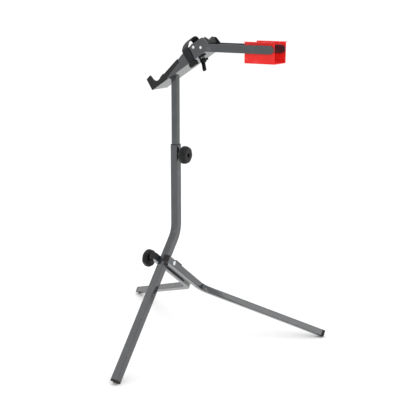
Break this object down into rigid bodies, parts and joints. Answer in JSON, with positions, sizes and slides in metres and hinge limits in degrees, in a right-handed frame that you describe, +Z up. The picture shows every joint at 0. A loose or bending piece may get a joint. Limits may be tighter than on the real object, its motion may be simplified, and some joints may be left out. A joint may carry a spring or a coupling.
{
  "type": "bike repair stand",
  "caption": "Folding floor stand of bent square tube with a telescoping mast, a hooked channel head, a strap, a V rest and a red front-wheel trough on two flat arms.",
  "frame": {"origin": "on the floor, under the middle of the stand's bounding box; the mast axis stands 5.7 mm behind it", "axes": "+X to the right along the two arms towards the wheel trough, +Y to the back where the rear legs stand, +Z up"},
  "size_m": [0.8144, 0.694, 1.0385],
  "materials": {
    "paint": "glossy anthracite powder coat",
    "rubber": "satin moulded rubber",
    "plastic": "fine-grained moulded nylon",
    "plug": "satin moulded polyethylene",
    "nylon": "natural nylon",
    "zinc": "bright zinc plate",
    "red": "satin red powder coat",
    "webbing": "woven nylon webbing"
  },
  "bodies": {
    "frame": {"main_tube": "paint", "main_foot_cap": "plug", "mast_bush": "plastic", "clamp_nut": "paint", "pivot_washer_right": "nylon", "pivot_washer_left": "nylon"},
    "rear_legs": {"right_leg": "paint", "left_leg": "paint", "right_leg_plug": "plug", "left_leg_plug": "plug", "right_foot_cap": "plug", "left_foot_cap": "plug", "leg_bridge": "paint", "pivot_bolt": "zinc", "knob_washer": "zinc"},
    "leg_knob": {"leg_knob": "plastic"},
    "height_knob": {"height_knob": "plastic", "height_screw": "zinc"},
    "mast_head": {"mast_tube": "paint", "mast_glide": "plastic", "head_channel": "paint", "near_hook_trim": "rubber", "far_hook_trim": "rubber", "strap": "webbing", "strap_buckle": "plastic", "strap_rivet": "zinc", "near_arm": "paint", "far_arm": "paint", "near_arm_bolt_1": "zinc", "near_arm_bolt_2": "zinc", "near_arm_nut_1": "zinc", "near_arm_nut_2": "zinc", "far_arm_bolt_1": "zinc", "far_arm_bolt_2": "zinc", "far_arm_nut_1": "zinc", "far_arm_nut_2": "zinc", "wheel_trough": "red", "near_trough_screw_1": "zinc", "near_trough_screw_2": "zinc", "far_trough_screw_1": "zinc", "far_trough_screw_2": "zinc"},
    "v_rest": {"v_bracket": "paint", "v_pad": "rubber", "v_clamp_stud": "zinc"},
    "clamp_lever": {"clamp_lever": "plastic", "lever_washer": "zinc"}
  },
  "joints": [
    {"name": "rear_legs_fold", "type": "hinge", "parent": "frame", "child": "rear_legs", "pos_m": [0, -0.06161, 0.3191], "axis": [-1, 0, 0], "range_deg": [0, 92]},
    {"name": "leg_knob_turn", "type": "hinge", "parent": "rear_legs", "child": "leg_knob", "pos_m": [-0.05, -0.06161, 0.3191], "axis": [-1, 0, 0], "continuous": true},
    {"name": "height_knob_turn", "type": "hinge", "parent": "frame", "child": "height_knob", "pos_m": [0.03, 0.00568, 0.665], "axis": [1, 0, 0], "continuous": true},
    {"name": "mast_slide", "type": "slide", "parent": "frame", "child": "mast_head", "axis": [0, 0, 1], "range_m": [-0.13, 0.05]},
    {"name": "v_rest_slide", "type": "slide", "parent": "mast_head", "child": "v_rest", "axis": [0.8387, 0, 0.5446], "range_m": [-0.007, 0.007]},
    {"name": "clamp_lever_turn", "type": "hinge", "parent": "v_rest", "child": "clamp_lever", "pos_m": [0.09812, 0.00568, 0.97272], "axis": [-0.5446, 0, 0.8387], "range_deg": [-120, 0]}
  ]
}
